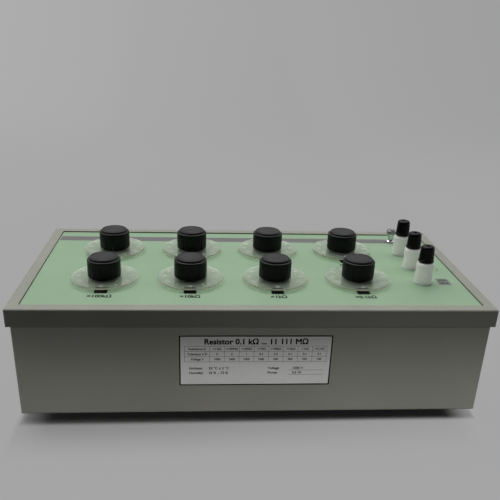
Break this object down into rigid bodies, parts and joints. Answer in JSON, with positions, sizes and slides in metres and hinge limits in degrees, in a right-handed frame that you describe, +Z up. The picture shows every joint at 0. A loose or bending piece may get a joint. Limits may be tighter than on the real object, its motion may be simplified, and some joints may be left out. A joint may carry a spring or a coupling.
{
  "type": "decade standard resistor",
  "caption": "Bench decade resistance box: folded steel case, recessed green panel, fluted knobs on clear dials that switch resistors, insulated binding posts and an earth terminal.",
  "frame": {"origin": "on the table, under the middle of the case", "axes": "+X along the width, to the right seen from the front; +Y towards the back; +Z up"},
  "size_m": [0.5448, 0.274, 0.1875],
  "materials": {
    "case_paint": "warm light grey stove enamel, satin, fine orange peel",
    "panel_paint": "pale green enamel, satin, with printed grey stripe, index marks and multipliers",
    "plate_foil": "pale printed foil with a dark border and a ruled table",
    "foot_rubber": "matt black rubber",
    "zinc_steel": "bright zinc plate",
    "brass": "turned brass",
    "deck_laminate": "brown phenolic laminate",
    "resistor_coat": "blue resistor lacquer",
    "copper": "bare copper wire",
    "post_white": "waxy white insulating plastic",
    "cap_black": "black moulded plastic, semi-gloss",
    "knob_black": "black moulded plastic with a satin cap",
    "disc_clear": "clear acrylic with pale digits",
    "chrome": "bright plated brass"
  },
  "bodies": {
    "case": {"case_tub": "case_paint", "top_frame": "case_paint", "panel": "panel_paint", "data_plate": "plate_foil", "feet": "foot_rubber", "frame_screws": "zinc_steel", "panel_nuts": "zinc_steel", "switch_plates": "zinc_steel", "switch_bushes": "brass", "switch_nuts": "zinc_steel", "switch_pillars": "zinc_steel", "switch_decks": "deck_laminate", "switch_contacts": "brass", "detent_springs": "zinc_steel", "resistors": "resistor_coat", "bus_wires": "copper", "post_insulators": "post_white", "post_studs": "brass", "post_nuts": "zinc_steel", "earth_post": "chrome"},
    "dial_1": {"dial_1_knob": "knob_black", "dial_1_disc": "disc_clear", "dial_1_shaft": "zinc_steel", "dial_1_wiper": "brass"},
    "dial_2": {"dial_2_knob": "knob_black", "dial_2_disc": "disc_clear", "dial_2_shaft": "zinc_steel", "dial_2_wiper": "brass"},
    "dial_3": {"dial_3_knob": "knob_black", "dial_3_disc": "disc_clear", "dial_3_shaft": "zinc_steel", "dial_3_wiper": "brass"},
    "dial_4": {"dial_4_knob": "knob_black", "dial_4_disc": "disc_clear", "dial_4_shaft": "zinc_steel", "dial_4_wiper": "brass"},
    "dial_5": {"dial_5_knob": "knob_black", "dial_5_disc": "disc_clear", "dial_5_shaft": "zinc_steel", "dial_5_wiper": "brass"},
    "dial_6": {"dial_6_knob": "knob_black", "dial_6_disc": "disc_clear", "dial_6_shaft": "zinc_steel", "dial_6_wiper": "brass"},
    "dial_7": {"dial_7_knob": "knob_black", "dial_7_disc": "disc_clear", "dial_7_shaft": "zinc_steel", "dial_7_wiper": "brass"},
    "dial_8": {"dial_8_knob": "knob_black", "dial_8_disc": "disc_clear", "dial_8_shaft": "zinc_steel", "dial_8_wiper": "brass"},
    "post_1_collar": {"post_1_collar": "brass"},
    "post_1_cap": {"post_1_cap": "cap_black"},
    "post_2_collar": {"post_2_collar": "brass"},
    "post_2_cap": {"post_2_cap": "cap_black"},
    "post_3_collar": {"post_3_collar": "brass"},
    "post_3_cap": {"post_3_cap": "cap_black"},
    "earth_washer": {"earth_washer": "chrome"},
    "earth_nut": {"earth_nut": "chrome"}
  },
  "joints": [
    {"name": "dial_1_turn", "type": "hinge", "parent": "case", "child": "dial_1", "pos_m": [-0.1753, -0.0505, 0.1405], "axis": [0, 0, 1], "range_deg": [-300, 0]},
    {"name": "dial_2_turn", "type": "hinge", "parent": "case", "child": "dial_2", "pos_m": [-0.0743, -0.0505, 0.1405], "axis": [0, 0, 1], "range_deg": [-300, 0]},
    {"name": "dial_3_turn", "type": "hinge", "parent": "case", "child": "dial_3", "pos_m": [0.0267, -0.0505, 0.1405], "axis": [0, 0, 1], "range_deg": [-300, 0]},
    {"name": "dial_4_turn", "type": "hinge", "parent": "case", "child": "dial_4", "pos_m": [0.1277, -0.0505, 0.1405], "axis": [0, 0, 1], "range_deg": [-300, 0]},
    {"name": "dial_5_turn", "type": "hinge", "parent": "case", "child": "dial_5", "pos_m": [-0.1753, 0.0505, 0.1405], "axis": [0, 0, 1], "range_deg": [-300, 0]},
    {"name": "dial_6_turn", "type": "hinge", "parent": "case", "child": "dial_6", "pos_m": [-0.0743, 0.0505, 0.1405], "axis": [0, 0, 1], "range_deg": [-300, 0]},
    {"name": "dial_7_turn", "type": "hinge", "parent": "case", "child": "dial_7", "pos_m": [0.0267, 0.0505, 0.1405], "axis": [0, 0, 1], "range_deg": [-300, 0]},
    {"name": "dial_8_turn", "type": "hinge", "parent": "case", "child": "dial_8", "pos_m": [0.1277, 0.0505, 0.1405], "axis": [0, 0, 1], "range_deg": [-300, 0]},
    {"name": "post_1_lift", "type": "slide", "parent": "case", "child": "post_1_collar", "axis": [0, 0, 1], "range_m": [0, 0.0041]},
    {"name": "post_1_turn", "type": "hinge", "parent": "post_1_collar", "child": "post_1_cap", "pos_m": [0.209, 0.047, 0.16755], "axis": [0, 0, 1], "range_deg": [0, 1440]},
    {"name": "post_2_lift", "type": "slide", "parent": "case", "child": "post_2_collar", "axis": [0, 0, 1], "range_m": [0, 0.0041]},
    {"name": "post_2_turn", "type": "hinge", "parent": "post_2_collar", "child": "post_2_cap", "pos_m": [0.209, -0.003, 0.16755], "axis": [0, 0, 1], "range_deg": [0, 1440]},
    {"name": "post_3_lift", "type": "slide", "parent": "case", "child": "post_3_collar", "axis": [0, 0, 1], "range_m": [0, 0.0041]},
    {"name": "post_3_turn", "type": "hinge", "parent": "post_3_collar", "child": "post_3_cap", "pos_m": [0.209, -0.053, 0.16755], "axis": [0, 0, 1], "range_deg": [0, 1440]},
    {"name": "earth_lift", "type": "slide", "parent": "case", "child": "earth_washer", "axis": [0, 0, 1], "range_m": [0, 0.0033]},
    {"name": "earth_turn", "type": "hinge", "parent": "earth_washer", "child": "earth_nut", "pos_m": [0.209, 0.097, 0.1525], "axis": [0, 0, 1], "range_deg": [0, 1440]}
  ],
  "couplings": [
    {"joint": "post_1_lift", "follows": "post_1_turn", "m_per_rad": 0.00015915},
    {"joint": "post_2_lift", "follows": "post_2_turn", "m_per_rad": 0.00015915},
    {"joint": "post_3_lift", "follows": "post_3_turn", "m_per_rad": 0.00015915},
    {"joint": "earth_lift", "follows": "earth_turn", "m_per_rad": 0.00012732}
  ]
}
